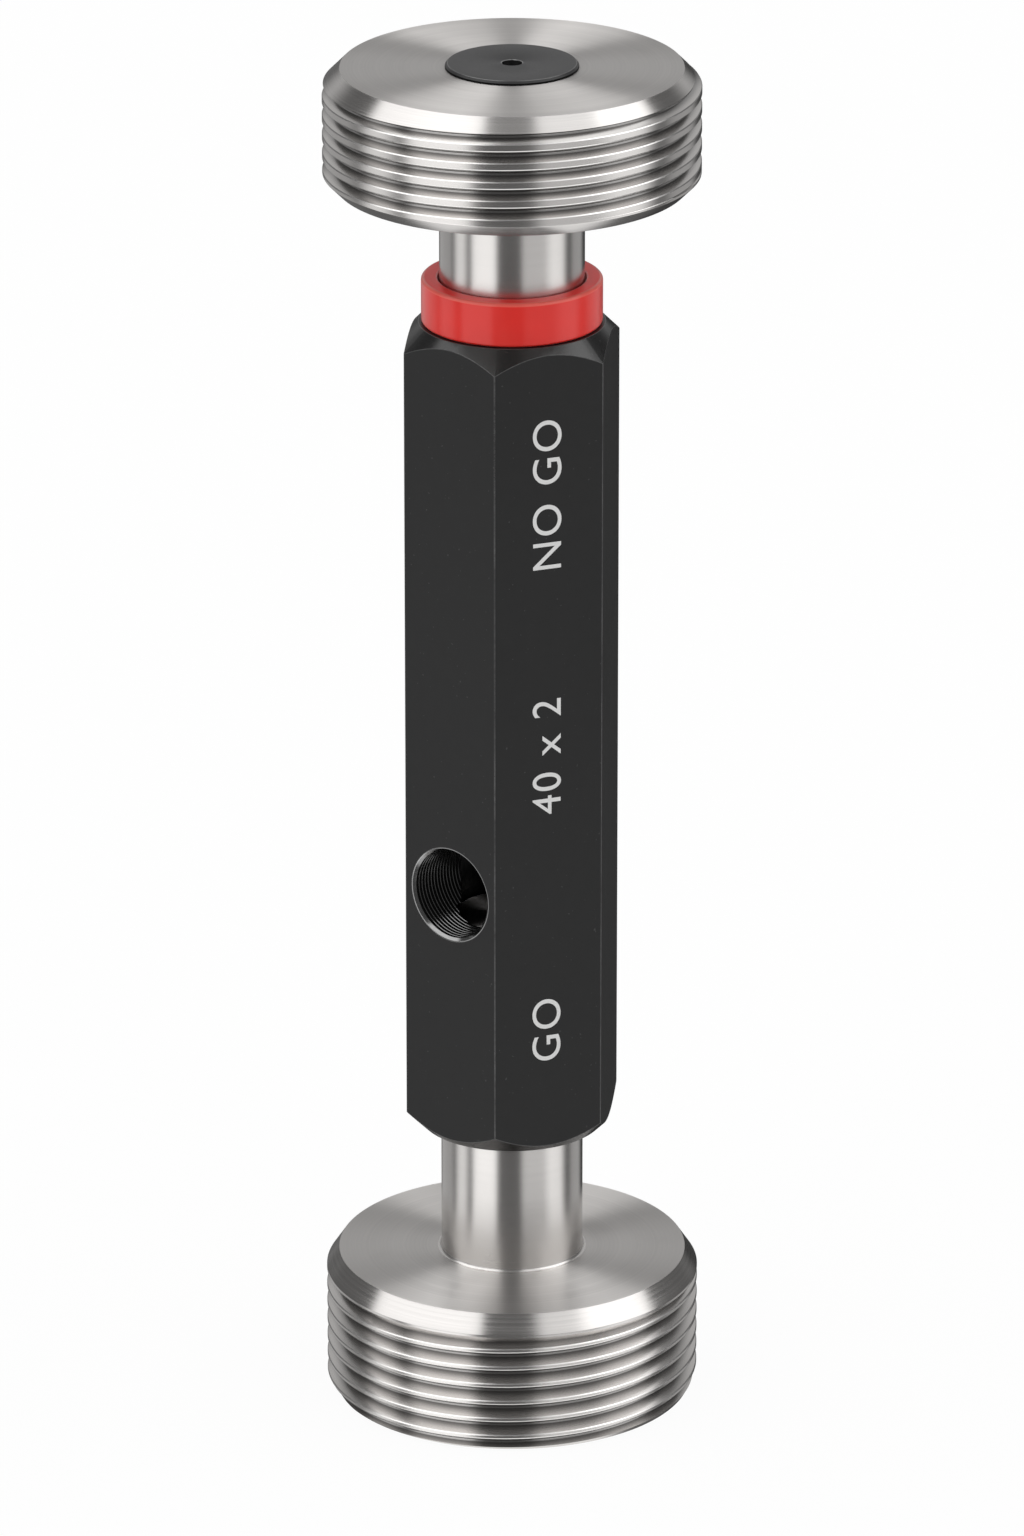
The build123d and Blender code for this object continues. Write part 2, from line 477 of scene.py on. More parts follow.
class Effects:
    """Surface effects that several finishes share, each a node group that is made once."""

    def __init__(self) -> None:
        """Starts with no groups made."""
        self.made: dict[str, bpy.types.NodeTree] = {}

    def _start(
        self, name: str, inputs: dict[str, tuple[str, object]], outputs: Sequence[str]
    ) -> tuple[Graph, bpy.types.Node]:
        """Makes an empty group with named sockets.

        Args:
            name: The group's name.
            inputs: Kind and default of each input, by name.
            outputs: Names of its outputs, which are all values.

        Returns:
            The group's graph and its input node.
        """
        tree = bpy.data.node_groups.new(name, "ShaderNodeTree")
        for label, (kind, default) in inputs.items():
            made = tree.interface.new_socket(label, in_out="INPUT", socket_type="NodeSocket" + kind)
            if default is not None:
                made.default_value = default
        for label in outputs:
            tree.interface.new_socket(label, in_out="OUTPUT", socket_type="NodeSocketFloat")
        self.made[name] = tree
        graph = Graph(tree)
        return graph, graph.add("NodeGroupInput")

    def _finish(self, graph: Graph, outputs: dict[str, Socket]) -> None:
        """Wires a group's results to its output node."""
        node = graph.add("NodeGroupOutput")
        for label, socket in outputs.items():
            graph.feed(socket, node.inputs[label])

    def place(self, graph: Graph, name: str, values: dict[str, object]) -> bpy.types.Node:
        """Puts one of the groups into a material.

        Args:
            graph: The material's graph.
            name: The group's name, which is also the name of the method that makes it.
            values: Values or sockets for its inputs.

        Returns:
            The group node.
        """
        if name not in self.made:
            getattr(self, name)()
        node = graph.add("NodeGroup", node_tree=self.made[name])
        for label, value in values.items():
            graph.feed(value, node.inputs[label])
        return node

    def turning_marks(self) -> None:
        """Makes the rings that a turning tool or a grinding wheel leaves round the Z axis, fine and broad."""
        inputs = {"Position": ("Vector", None), "Pitch": ("Float", 0.1 * MM)}
        graph, given = self._start("turning_marks", inputs, ("Fine", "Broad"))
        parts = graph.add("NodeSeparateXYZ", {"Vector": given.outputs["Position"]})
        across = graph.vector(parts.outputs["X"], parts.outputs["Y"], 0.0)
        reach = graph.add("NodeVectorMath", {0: across}, operation="LENGTH").outputs["Value"]
        ring = graph.math("DIVIDE", reach, given.outputs["Pitch"])
        level = graph.math("DIVIDE", parts.outputs["Z"], given.outputs["Pitch"])
        fine_layer, broad_layer = 0.0, 3.7
        fine = graph.noise(graph.vector(ring, level, fine_layer), scale=1.0, detail=3.0, rough=0.65)
        broad = graph.noise(graph.vector(ring, level, broad_layer), scale=0.11)
        self._finish(graph, {"Fine": fine, "Broad": broad})

    def rubbing(self) -> None:
        """Makes a broken mask of where a skin is rubbed through to the metal."""
        inputs = {"Position": ("Vector", None), "Amount": ("Float", 0.5)}
        graph, given = self._start("rubbing", inputs, ("Mask",))
        scratches = graph.noise(given.outputs["Position"], scale=1500.0, detail=3.0, rough=0.6)
        places = graph.noise(given.outputs["Position"], scale=160.0)
        fine = graph.remap(scratches, *NOISE_NARROW, to_low=0.55)
        broad = graph.remap(places, 0.3, 0.65, to_low=0.4)
        both = graph.product(fine, broad)
        self._finish(graph, {"Mask": graph.math("MULTIPLY", both, given.outputs["Amount"], clamp=True)})

    def grain(self) -> None:
        """Makes the fine even grain of a blasted, anodised or moulded skin, and its slow change in shade."""
        inputs = {"Position": ("Vector", None), "Size": ("Float", 0.1 * MM)}
        graph, given = self._start("grain", inputs, ("Height", "Shade"))
        scaled = graph.add("NodeVectorMath", {0: given.outputs["Position"]}, operation="SCALE")
        graph.feed(graph.math("DIVIDE", 1.0, given.outputs["Size"]), scaled.inputs["Scale"])
        height = graph.noise(scaled.outputs[0], scale=1.0, rough=0.6)
        shade = graph.noise(scaled.outputs[0], scale=0.06, detail=3.0, rough=0.55)
        self._finish(graph, {"Height": height, "Shade": shade})

    def handling(self) -> None:
        """Makes faint smears and specks from use, as a mask of each."""
        graph, given = self._start("handling", {"Position": ("Vector", None)}, ("Smears", "Specks"))
        along_axis = (1.0, 1.0, 0.35)
        stretched = graph.add("NodeMapping", {"Vector": given.outputs["Position"], "Scale": along_axis})
        smears = graph.noise(stretched.outputs[0], scale=85.0, detail=4.0, rough=0.6)
        specks = graph.noise(given.outputs["Position"], scale=2600.0, detail=1.0)
        masks = {"Smears": graph.remap(smears, 0.5, 0.75), "Specks": graph.remap(specks, 0.74, 0.8)}
        self._finish(graph, masks)


EFFECTS = Effects()


def start_material(name: str) -> tuple[bpy.types.Material, Graph, Socket]:
    """Makes an empty material.

    Args:
        name: Its name.

    Returns:
        The material, its graph and the position in the piece's own frame.
    """
    material = bpy.data.materials.new(name)
    material.use_nodes = True
    graph = Graph(material.node_tree)
    return material, graph, graph.add("NodeTexCoord").outputs["Object"]


def close_material(
    graph: Graph, shader: bpy.types.Node, height: Socket, strength: float, depth: float
) -> None:
    """Gives a shader its bump and wires it to the material's output.

    Args:
        graph: The material's graph.
        shader: Its Principled shader.
        height: Height of the relief, from 0 to 1.
        strength: Share of the relief that shows.
        depth: Depth of the relief, in metres.
    """
    values = {"Height": height, "Strength": strength, "Distance": depth}
    graph.feed(graph.add("NodeBump", values).outputs[0], shader.inputs["Normal"])
    graph.feed(shader.outputs[0], graph.add("NodeOutputMaterial").inputs["Surface"])


@dataclass(frozen=True)
class SteelFinish:
    """Bright hardened steel with the lay of turning or grinding round the axis, and painted shade down a
    thread's grooves where a finish asks for it.
    """

    name: str
    colour: tuple[float, float, float] = (0.68, 0.66, 0.643)
    # Colour, share and starting depth of the painted shade down a thread's groove.
    painted_root_shade_colour: tuple[float, float, float] = (0.36, 0.351, 0.344)
    painted_root_shade: float = 0.0
    root_shade_from: float = 0.25
    roughness: float = 0.26
    stretch: float = 0.75
    mark_pitch: float = 0.24 * MM
    mark_contrast: float = 0.10
    unevenness: float = 0.035
    smear_share: float = 1.5
    relief: float = 0.002 * MM
    relief_strength: float = 0.35

    def material(self) -> bpy.types.Material:
        """Builds the material."""
        material, graph, position = start_material(self.name)
        marks = EFFECTS.place(graph, "turning_marks", {"Position": position, "Pitch": self.mark_pitch})
        use = EFFECTS.place(graph, "handling", {"Position": position})
        fine = graph.remap(marks.outputs["Fine"], *NOISE_MIDDLE, to_low=1.0 - self.mark_contrast)
        broad = graph.remap(marks.outputs["Broad"], *NOISE_NARROW, to_low=1.0 - self.mark_contrast / 2)
        lay = graph.product(fine, broad)
        marked = graph.blend(1.0, self._steel(graph), graph.vector(lay, lay, lay), "MULTIPLY")
        smoothest = self.roughness - self.unevenness
        roughest = self.roughness + self.unevenness
        rough = graph.remap(marks.outputs["Fine"], *NOISE_WIDE, smoothest, roughest)
        smear = self.unevenness * self.smear_share
        values = {
            "Base Color": marked,
            "Metallic": 1.0,
            "Roughness": graph.math("MULTIPLY_ADD", use.outputs["Smears"], smear, rough),
            **graph.lay(self.stretch),
        }
        shader = graph.add("NodeBsdfPrincipled", values)
        close_material(graph, shader, marks.outputs["Fine"], self.relief_strength, self.relief)
        return material

    def _steel(self, graph: Graph) -> object:
        """Colour of the steel, with painted shade that makes it darker down a thread's groove where the
        finish asks for it.
        """
        if self.painted_root_shade <= 0.0:
            return opaque(self.colour)
        groove = graph.add("NodeAttribute", attribute_name="groove").outputs["Fac"]
        root_shade = graph.remap(groove, self.root_shade_from, 1.0, to_high=self.painted_root_shade)
        return graph.blend(root_shade, opaque(self.colour), opaque(self.painted_root_shade_colour))


@dataclass(frozen=True)
class BlackFinish:
    """Black skin on metal, with bright metal at its rubbed edges, which is partly wear and partly a painted
    highlight along them.
    """

    name: str
    colour: tuple[float, float, float] = (0.008, 0.008, 0.0082)
    lighter: float = 1.35
    worn_colour: tuple[float, float, float] = (0.30, 0.30, 0.30)
    speck_grey: float = 0.25
    speck_share: float = 0.12
    specular: float = 0.34
    roughness: float = 0.36
    smoother: float = 0.04
    rougher: float = 0.05
    smear_gloss: float = 0.05
    grain_size: float = 0.09 * MM
    relief: float = 0.004 * MM
    relief_strength: float = 0.3
    wear: float = 0.0
    stretch: float = 0.0

    def material(self) -> bpy.types.Material:
        """Builds the material."""
        material, graph, position = start_material(self.name)
        grain = EFFECTS.place(graph, "grain", {"Position": position, "Size": self.grain_size})
        use = EFFECTS.place(graph, "handling", {"Position": position})
        skin = graph.blend(grain.outputs["Shade"], opaque(self.colour), opaque(self.colour, self.lighter))
        specks = graph.product(use.outputs["Specks"], self.speck_share)
        colour = graph.blend(specks, skin, grey(self.speck_grey))
        bare: object = 0.0
        if self.wear > 0.0:
            rubbing = EFFECTS.place(graph, "rubbing", {"Position": position, "Amount": self.wear})
            bare = rubbing.outputs["Mask"]
            colour = graph.blend(bare, colour, opaque(self.worn_colour))
        smoothest = self.roughness - self.smoother
        roughest = self.roughness + self.rougher
        rough = graph.remap(grain.outputs["Height"], *NOISE_WIDE, smoothest, roughest)
        values = {
            "Base Color": colour,
            "Metallic": bare,
            "Roughness": graph.math("MULTIPLY_ADD", use.outputs["Smears"], -self.smear_gloss, rough),
            "Specular IOR Level": self.specular,
            **graph.lay(self.stretch),
        }
        shader = graph.add("NodeBsdfPrincipled", values)
        close_material(graph, shader, grain.outputs["Height"], self.relief_strength, self.relief)
        return material


@dataclass(frozen=True)
class RedFinish:
    """Glossy red moulded skin."""

    name: str
    colour: tuple[float, float, float] = (0.84, 0.017, 0.009)
    deeper: float = 0.82
    smeared_colour: tuple[float, float, float] = (0.74, 0.07, 0.055)
    smear_share: float = 0.25
    roughness: float = 0.34
    smear_roughness: float = 0.08
    coat: float = 0.45
    sheen: float = 0.18
    grain_size: float = 0.35 * MM
    relief: float = 0.004 * MM
    relief_strength: float = 0.2

    def material(self) -> bpy.types.Material:
        """Builds the material."""
        material, graph, position = start_material(self.name)
        grain = EFFECTS.place(graph, "grain", {"Position": position, "Size": self.grain_size})
        use = EFFECTS.place(graph, "handling", {"Position": position})
        smears = use.outputs["Smears"]
        skin = graph.blend(grain.outputs["Shade"], opaque(self.colour), opaque(self.colour, self.deeper))
        smeared = graph.blend(graph.product(smears, self.smear_share), skin, opaque(self.smeared_colour))
        roughest = self.roughness + self.smear_roughness
        values = {
            "Base Color": smeared,
            "Roughness": graph.remap(smears, 0.0, 1.0, self.roughness, roughest),
            "Specular IOR Level": 0.35,
            "Coat Weight": self.coat,
            "Coat Roughness": 0.09,
            "Coat IOR": 1.55,
            "Sheen Weight": self.sheen,
            "Sheen Roughness": 0.4,
        }
        shader = graph.add("NodeBsdfPrincipled", values)
        close_material(graph, shader, grain.outputs["Height"], self.relief_strength, self.relief)
        return material


@dataclass(frozen=True)
class MarkingFinish:
    """Pale grey of a laser mark in a black skin."""

    name: str
    colour: tuple[float, float, float] = (0.74, 0.74, 0.733)
    dimmer: float = 0.82
    smoothest: float = 0.5
    roughest: float = 0.65
    grain_size: float = 0.05 * MM
    relief: float = 0.004 * MM
    relief_strength: float = 0.4

    def material(self) -> bpy.types.Material:
        """Builds the material."""
        material, graph, position = start_material(self.name)
        grain = EFFECTS.place(graph, "grain", {"Position": position, "Size": self.grain_size})
        height = grain.outputs["Height"]
        values = {
            "Base Color": graph.blend(height, opaque(self.colour), opaque(self.colour, self.dimmer)),
            "Roughness": graph.remap(height, *NOISE_WIDE, self.smoothest, self.roughest),
        }
        shader = graph.add("NodeBsdfPrincipled", values)
        close_material(graph, shader, height, self.relief_strength, self.relief)
        return material


@dataclass
class ScrewThread:
    """One-start right-hand thread, as a band of given form that climbs round the axis."""

    crest_radius: float
    low: float
    pitch: float = 2.0 * MM
    full_radius: float = 20.0 * MM
    full_crest: float = 0.40 * MM
    root_flat: float = 0.25 * MM
    flank_angle: float = math.radians(30.0)
    crest_rounding: float = 0.14 * MM
    crest_segments: int = 1
    root_rounding: float = 0.08 * MM
    root_segments: int = 2
    bevel_share: float = 0.51
    start_below: float = 3.0 * MM

    @property
    def root_radius(self) -> float:
        """Radius at the bottom of the groove."""
        flank_height = (self.pitch - self.full_crest - self.root_flat) / 2
        return self.full_radius - flank_height / math.tan(self.flank_angle)

    @property
    def bevel_drop(self) -> float:
        """How far under the crests the bevels of their edges reach, with a little to spare."""
        return self.crest_rounding * self.bevel_share

    def form(self) -> Line:
        """Works out the form of one pitch, with bevelled crests and rounded roots.

        Returns:
            Its corners, as their heights over the middle of the root and their radii.
        """
        flank = (self.crest_radius - self.root_radius) * math.tan(self.flank_angle)
        root_end = self.root_flat / 2
        ring = [
            Vector((root_end, self.root_radius)),
            Vector((root_end + flank, self.crest_radius)),
            Vector((self.pitch - root_end - flank, self.crest_radius)),
            Vector((self.pitch - root_end, self.root_radius)),
        ]
        before = ring[-1] - Vector((self.pitch, 0.0))
        after = ring[0] + Vector((self.pitch, 0.0))
        line = [before, *ring, after]
        root = (self.root_rounding, self.root_segments)
        crest = (self.crest_rounding, self.crest_segments)
        points = []
        for place, (rounding, segments) in enumerate((root, crest, crest, root), start=1):
            points += arc_line(line[place - 1], line[place], line[place + 1], rounding, segments)
        return [(point.x, point.y) for point in points]


@dataclass(frozen=True)
class Cone:
    """A turned cone, as its radius at one level and how fast that grows going up."""

    radius: float
    level: float
    growth: float

    def at(self, level: float) -> float:
        """Radius of the cone at a level."""
        return self.radius + (level - self.level) * self.growth


@dataclass
class ThreadedBand:
    """The threaded part of a plug, turned off by a chamfer at one end and run out on a cone at the other."""

    thread: ScrewThread
    low_level: float
    high_level: float
    chamfer: Cone
    runout: Cone

    def section(self, angle: float) -> list[Station]:
        """Cuts the band by a half plane through the axis.

        Args:
            angle: Angle of the half plane.

        Returns:
            The vertices of the cut, going up.
        """
        found: list[tuple[float, Key, float]] = []
        profile = self._profile(angle)
        for (key, level, radius), (_, next_level, next_radius) in zip(profile, profile[1:]):
            if self._within(level) and self.runout.at(level) <= radius <= self.chamfer.at(level):
                found.append((level, ("turn", *key), radius))
            slope = (next_radius - radius) / (next_level - level)
            for name, cone in (("turn chamfer", self.chamfer), ("turn runout", self.runout)):
                if abs(slope - cone.growth) < LEVEL_SLACK:
                    continue
                cross = level + (cone.at(level) - radius) / (slope - cone.growth)
                if level < cross < next_level and self._within(cross) and self._kept(cone.at(cross), cross):
                    found.append((cross, (name, *key), cone.at(cross)))
            for name, end in (("low", self.low_level), ("high", self.high_level)):
                if level <= end < next_level:
                    found.append((end, (name, 0, 0), self._trimmed(radius + (end - level) * slope, end)))
        found.sort()
        return [self._station(found, place) for place in range(len(found))]

    def _profile(self, angle: float) -> list[tuple[tuple[int, int], float, float]]:
        """Follows the endless thread past the band at an angle.

        Args:
            angle: Angle of the half plane.

        Returns:
            The thread's corners, each as its turn and place in the form, its level and its radius.
        """
        thread = self.thread
        base = thread.low - thread.start_below + thread.pitch * angle / (2 * math.pi)
        first = math.floor((self.low_level - base) / thread.pitch) - 1
        last = math.ceil((self.high_level - base) / thread.pitch) + 1
        form = thread.form()
        return [
            ((turn, place), base + turn * thread.pitch + height, radius)
            for turn in range(first, last + 1)
            for place, (height, radius) in enumerate(form)
        ]

    def _station(self, found: list[tuple[float, Key, float]], place: int) -> Station:
        """Makes one vertex of the cut, and works out what kind of face goes on from it.

        Args:
            found: Level, key and radius of every vertex of the cut, going up.
            place: Which of them is made.

        Returns:
            The vertex.
        """
        thread = self.thread
        level, key, radius = found[place]
        next_level, _, next_radius = found[min(place + 1, len(found) - 1)]
        average = (radius + next_radius) / 2
        drop = thread.crest_radius - min(radius, next_radius)
        if average > self.chamfer.at((level + next_level) / 2) - RADIUS_SLACK:
            surface = Surface.CHAMFER
        elif drop < RADIUS_SLACK:
            surface = Surface.CREST
        elif drop < thread.bevel_drop:
            surface = Surface.CREST_EDGE
        else:
            surface = Surface.FLANK
        # How far down the groove the vertex lies, which the flank finish turns into painted shade.
        groove = (thread.crest_radius - radius) / (thread.crest_radius - thread.root_radius)
        return Station(key, radius, level, surface, max(0.0, groove))

    def _within(self, level: float) -> bool:
        """Whether a level lies between the band's ends."""
        return self.low_level + LEVEL_SLACK < level < self.high_level - LEVEL_SLACK

    def _kept(self, radius: float, level: float) -> bool:
        """Whether a point lies outside the run-out and inside the chamfer, or on one of them."""
        return self.runout.at(level) - LEVEL_SLACK <= radius <= self.chamfer.at(level) + LEVEL_SLACK

    def _trimmed(self, radius: float, level: float) -> float:
        """Radius of the thread at a level after the chamfer and the run-out."""
        return max(min(radius, self.chamfer.at(level)), self.runout.at(level))


@dataclass
class GaugePlug:
    """A gauging end: threaded disc, neck and the taper shank inside the handle."""

    node: str
    crest_radius: float
    end_face: float
    columns: int = 480
    sharp_above: float = math.radians(27.0)
    neck_radius: float = 7.6 * MM
    neck_root: float = 0.40 * MM
    edge: float = 0.08 * MM
    collar_land: float = 0.25 * MM
    collar_step: float = 0.05 * MM
    mouth_radius: float = 6.5 * MM
    shank_length: float = 23.7 * MM
    shank_taper: float = 1.0 / 50.0
    shank_chamfer: float = 0.40 * MM
    shoulder_gap: float = 0.20 * MM
    centre_mouth: float = 1.06 * MM
    centre_rim: float = 0.10 * MM
    centre_pilot: float = 0.50 * MM
    centre_depth: float = 3.2 * MM
    centre_slope: float = math.tan(math.radians(30.0))

    def shank(self, handle_end: float, way: int) -> list[Corner]:
        """Neck, shoulder and taper shank as a section, going from the disc into the handle.

        Args:
            handle_end: Level of the handle's end face on this side.
            way: 1 if the shank points up, and -1 if it points down.

        Returns:
            The corners, with the neck's start at the disc left out.
        """
        end_radius = self.mouth_radius - self.shank_length * self.shank_taper / 2
        end = handle_end + way * self.shank_length
        shoulder = handle_end - way * self.shoulder_gap
        return [
            Corner(self.neck_radius, shoulder, leads_on=Surface.NECK),
            Corner(self.mouth_radius, shoulder),
            Corner(self.mouth_radius, handle_end),
            Corner(end_radius, end - way * self.shank_chamfer),
            Corner(end_radius - self.shank_chamfer, end),
            Corner(0.0, end),
        ]

    def centre_hole(self, face: float, way: int, surface: Surface) -> list[Corner]:
        """Centre hole as a section, from its bottom on the axis out to its mouth.

        Args:
            face: Level of the face that it is in.
            way: 1 if the face looks up, and -1 if it looks down.
            surface: Kind of face that it is lined with.

        Returns:
            The corners.
        """
        bottom = face - way * self.centre_depth
        cone = (self.centre_mouth - self.centre_pilot) / self.centre_slope
        line = [
            (0.0, bottom),
            (self.centre_pilot, bottom),
            (self.centre_pilot, face - way * cone),
            (self.centre_mouth, face - way * self.centre_rim / 2),
            (self.centre_mouth + self.centre_rim, face),
        ]
        return [Corner(radius, level, leads_on=surface) for radius, level in line]

    def make(
        self, band: ThreadedBand, below: Sequence[Corner], above: Sequence[Corner], finishes: Finishes
    ) -> bpy.types.Object:
        """Builds the plug from its threaded band and the turned sections at both ends of it.

        Args:
            band: The threaded band.
            below: Section from the axis out to the band's low end.
            above: Section from the band's high end back to the axis.
            finishes: The material of each kind of face.

        Returns:
            The piece.
        """
        low_line = trace(below, "below")
        high_line = trace(above, "above")
        angles = even_angles(self.columns)
        columns = [low_line + band.section(angle) + high_line for angle in angles]
        draft = MeshDraft()
        draft.add_columns(angles, columns, looped=False)
        piece = draft.to_object(self.node + "_dressed", finishes)
        soften(piece, self.sharp_above)
        return enlist(piece, Slot.STEEL, self.node)


@dataclass
class GoPlug(GaugePlug):
    """GO end, that the gauge stands on, with a full thread."""

    width: float = 15.5 * MM
    neck_chamfer: tuple[float, float] = (1.35 * MM, 2.0 * MM)
    end_chamfer: tuple[float, float] = (0.75 * MM, 1.3 * MM)
    inside_root: float = 0.30 * MM

    def build(self, handle_low: float, finishes: Finishes) -> bpy.types.Object:
        """Builds the plug.

        Args:
            handle_low: Level of the handle's lower end face.
            finishes: The material of each kind of face.

        Returns:
            The piece.
        """
        low = self.end_face
        high = low + self.width
        thread = ScrewThread(self.crest_radius, low)
        radial, axial = self.neck_chamfer
        land_top = high - axial
        collar_edge = land_top - self.collar_land
        end_radial, end_axial = self.end_chamfer
        band = ThreadedBand(
            thread,
            low,
            collar_edge,
            chamfer=Cone(self.crest_radius - end_radial, low, end_radial / end_axial),
            runout=Cone(self.crest_radius, collar_edge, 1.0),
        )
        below = [
            *self.centre_hole(low, -1, Surface.TURNED),
            Corner(thread.root_radius - self.inside_root, low),
        ]
        above = [
            Corner(self.crest_radius, collar_edge + self.collar_step, leads_on=Surface.CREST),
            Corner(self.crest_radius, land_top, self.edge, Surface.CHAMFER),
            Corner(self.crest_radius - radial, high, self.edge),
            Corner(self.neck_radius, high, self.neck_root, Surface.NECK, rounded_as=Surface.NECK),
            *self.shank(handle_low, 1),
        ]
        return self.make(band, below, above, finishes)


@dataclass
class NoGoPlug(GaugePlug):
    """NO GO end, shorter, with lower crests and a raised black centre on its end face."""

    width: float = 12.5 * MM
    end_chamfer: float = 1.85 * MM
    neck_chamfer: float = 1.30 * MM
    inside_root: float = 0.02 * MM
    chamfer_step: float = 0.10 * MM
    boss_radius: float = 6.95 * MM
    boss_height: float = 0.45 * MM
    boss_chamfer: float = 0.25 * MM
    boss_lower_edge: float = 0.05 * MM
    boss_upper_edge: float = 0.06 * MM

    def build(self, handle_high: float, finishes: Finishes) -> bpy.types.Object:
        """Builds the plug.

        Args:
            handle_high: Level of the handle's upper end face.
            finishes: The material of each kind of face.

        Returns:
            The piece.
        """
        high = self.end_face
        low = high - self.width
        thread = ScrewThread(self.crest_radius, low)
        land_bottom = low + self.neck_chamfer
        collar_edge = land_bottom + self.collar_land
        high_radius = self.crest_radius - self.end_chamfer
        band = ThreadedBand(
            thread,
            collar_edge,
            high - (thread.root_radius - self.inside_root - high_radius),
            chamfer=Cone(high_radius, high, -1.0),
            runout=Cone(self.crest_radius, collar_edge, -1.0),
        )
        below = [
            *reversed(self.shank(handle_high, -1)),
            Corner(self.neck_radius, low, self.neck_root),
            Corner(self.crest_radius - self.neck_chamfer, low, self.edge, Surface.CHAMFER),
            Corner(self.crest_radius, land_bottom, self.edge, Surface.CREST),
            Corner(self.crest_radius, collar_edge - self.collar_step, leads_on=Surface.CREST),
        ]
        above = [
            Corner(high_radius + self.chamfer_step, high - self.chamfer_step, leads_on=Surface.CHAMFER),
            Corner(high_radius, high, self.edge),
            *self._boss(high),
        ]
        return self.make(band, below, above, finishes)

    def _boss(self, face: float) -> list[Corner]:
        """Raised black centre with its centre hole, as a section that ends on the axis.

        Args:
            face: Level of the end face that it stands on.

        Returns:
            The corners.
        """
        top = face + self.boss_height
        inner = self.boss_radius - self.boss_chamfer
        # The boss's side wall takes the centre hole's finish, painted shade that draws a dark line round the
        # boss.
        wall = Surface.CENTRE_HOLE
        black = Surface.BLACK_CENTRE
        bright = Surface.HOLE_RIM
        hole = self.centre_hole(top, 1, Surface.CENTRE_HOLE)
        return [
            Corner(self.boss_radius, face, leads_on=wall),
            Corner(self.boss_radius, top - self.boss_chamfer, self.boss_lower_edge, black, rounded_as=wall),
            # The rounded upper edge takes the bright rim finish, a painted highlight line round the boss.
            Corner(inner, top, self.boss_upper_edge, black, rounded_as=bright),
            Corner(hole[-1].radius, top, leads_on=bright),
            *reversed(hole[:-1]),
        ]


